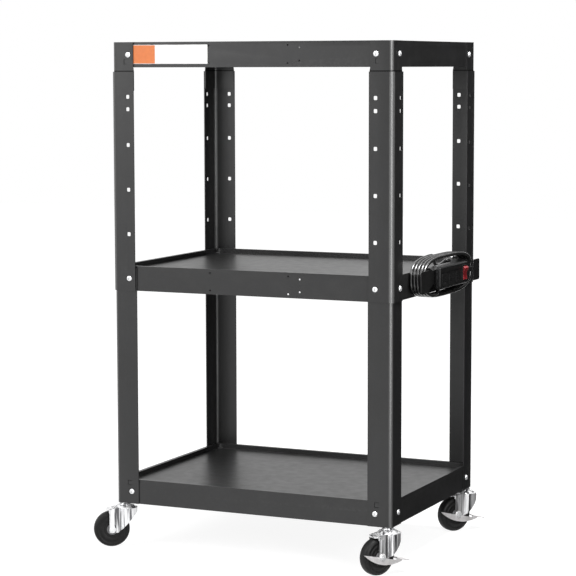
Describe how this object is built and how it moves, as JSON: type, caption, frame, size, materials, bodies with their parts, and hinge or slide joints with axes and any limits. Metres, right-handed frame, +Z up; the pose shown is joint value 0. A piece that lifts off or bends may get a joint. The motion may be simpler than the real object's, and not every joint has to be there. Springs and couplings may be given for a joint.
{
  "type": "audio visual cart",
  "caption": "Rolling audio visual cart: pressed steel trays with raised lips bolted into angle legs of adjustable height, swivel casters with brakes and a side power unit with a wound cord",
  "frame": {"origin": "on the floor under the centre of the trays", "axes": "X to the right along the trays' long side, Y to the back, Z up; the power unit is on the right"},
  "size_m": [0.7031, 0.5705, 1.0343],
  "materials": {
    "black_powder_coat": "satin powder coat",
    "tray_powder_coat": "satin powder coat",
    "socket_coat": "satin powder coat",
    "bracket_coat": "satin black paint",
    "caster_chrome": "bright plated pressing",
    "bright_zinc": "bright zinc plate",
    "lever_steel": "plain plated steel",
    "hub_plastic": "grey moulded hub",
    "tyre_rubber": "black solid tyre",
    "unit_plastic": "black moulded housing",
    "rocker_red": "glossy red rocker",
    "cord_sheath": "black flexible sheath"
  },
  "bodies": {
    "frame": {"lower_leg_front_left": "black_powder_coat", "outer_leg_front_left": "black_powder_coat", "top_post_front_left": "black_powder_coat", "caster_socket_front_left": "socket_coat", "caster_stem_front_left": "caster_chrome", "lower_leg_front_right": "black_powder_coat", "outer_leg_front_right": "black_powder_coat", "top_post_front_right": "black_powder_coat", "caster_socket_front_right": "socket_coat", "caster_stem_front_right": "caster_chrome", "lower_leg_back_left": "black_powder_coat", "outer_leg_back_left": "black_powder_coat", "top_post_back_left": "black_powder_coat", "caster_socket_back_left": "socket_coat", "caster_stem_back_left": "caster_chrome", "lower_leg_back_right": "black_powder_coat", "outer_leg_back_right": "black_powder_coat", "top_post_back_right": "black_powder_coat", "caster_socket_back_right": "socket_coat", "caster_stem_back_right": "caster_chrome", "bottom_shelf": "tray_powder_coat", "middle_shelf": "tray_powder_coat", "top_shelf": "tray_powder_coat", "unit_bracket": "bracket_coat", "unit_screw_near": "bright_zinc", "unit_screw_far": "bright_zinc", "unit_housing": "unit_plastic", "unit_front": "unit_plastic", "switch_bezel": "unit_plastic", "strain_relief": "cord_sheath", "cord_winding": "cord_sheath", "cord_tail": "cord_sheath", "plug": "cord_sheath"},
    "fork_front_left": {"caster_fork_front_left": "caster_chrome", "axle_front_left": "bright_zinc"},
    "wheel_front_left": {"wheel_hub_front_left": "hub_plastic", "wheel_tyre_front_left": "tyre_rubber"},
    "fork_front_right": {"caster_fork_front_right": "caster_chrome", "axle_front_right": "bright_zinc"},
    "wheel_front_right": {"wheel_hub_front_right": "hub_plastic", "wheel_tyre_front_right": "tyre_rubber"},
    "lever_front_right": {"brake_lever_front_right": "lever_steel"},
    "fork_back_left": {"caster_fork_back_left": "caster_chrome", "axle_back_left": "bright_zinc"},
    "wheel_back_left": {"wheel_hub_back_left": "hub_plastic", "wheel_tyre_back_left": "tyre_rubber"},
    "fork_back_right": {"caster_fork_back_right": "caster_chrome", "axle_back_right": "bright_zinc"},
    "wheel_back_right": {"wheel_hub_back_right": "hub_plastic", "wheel_tyre_back_right": "tyre_rubber"},
    "lever_back_right": {"brake_lever_back_right": "lever_steel"},
    "switch": {"rocker_switch": "rocker_red"}
  },
  "joints": [
    {"name": "swivel_front_left", "type": "hinge", "parent": "frame", "child": "fork_front_left", "pos_m": [-0.2928, -0.2166, 0.09], "axis": [0, 0, 1], "continuous": true},
    {"name": "wheel_roll_front_left", "type": "hinge", "parent": "fork_front_left", "child": "wheel_front_left", "pos_m": [-0.31574, -0.23266, 0.037], "axis": [-0.5736, 0.8192, 0], "continuous": true},
    {"name": "swivel_front_right", "type": "hinge", "parent": "frame", "child": "fork_front_right", "pos_m": [0.2928, -0.2166, 0.09], "axis": [0, 0, 1], "continuous": true},
    {"name": "wheel_roll_front_right", "type": "hinge", "parent": "fork_front_right", "child": "wheel_front_right", "pos_m": [0.27923, -0.24109, 0.037], "axis": [-0.8746, 0.4848, 0], "continuous": true},
    {"name": "brake_front_right", "type": "hinge", "parent": "fork_front_right", "child": "lever_front_right", "pos_m": [0.27923, -0.24109, 0.037], "axis": [-0.8746, 0.4848, 0], "range_deg": [0, 13]},
    {"name": "swivel_back_left", "type": "hinge", "parent": "frame", "child": "fork_back_left", "pos_m": [-0.2928, 0.2166, 0.09], "axis": [0, 0, 1], "continuous": true},
    {"name": "wheel_roll_back_left", "type": "hinge", "parent": "fork_back_left", "child": "wheel_back_left", "pos_m": [-0.29766, 0.24418, 0.037], "axis": [0.9848, 0.1736, 0], "continuous": true},
    {"name": "swivel_back_right", "type": "hinge", "parent": "frame", "child": "fork_back_right", "pos_m": [0.2928, 0.2166, 0.09], "axis": [0, 0, 1], "continuous": true},
    {"name": "wheel_roll_back_right", "type": "hinge", "parent": "fork_back_right", "child": "wheel_back_right", "pos_m": [0.27694, 0.19352, 0.037], "axis": [-0.8241, 0.5664, 0], "continuous": true},
    {"name": "brake_back_right", "type": "hinge", "parent": "fork_back_right", "child": "lever_back_right", "pos_m": [0.27694, 0.19352, 0.037], "axis": [-0.8241, 0.5664, 0], "range_deg": [0, 13]},
    {"name": "switch_rock", "type": "hinge", "parent": "frame", "child": "switch", "pos_m": [0.343, 0.057, 0.56725], "axis": [0, -1, 0], "range_deg": [0, 16]}
  ]
}
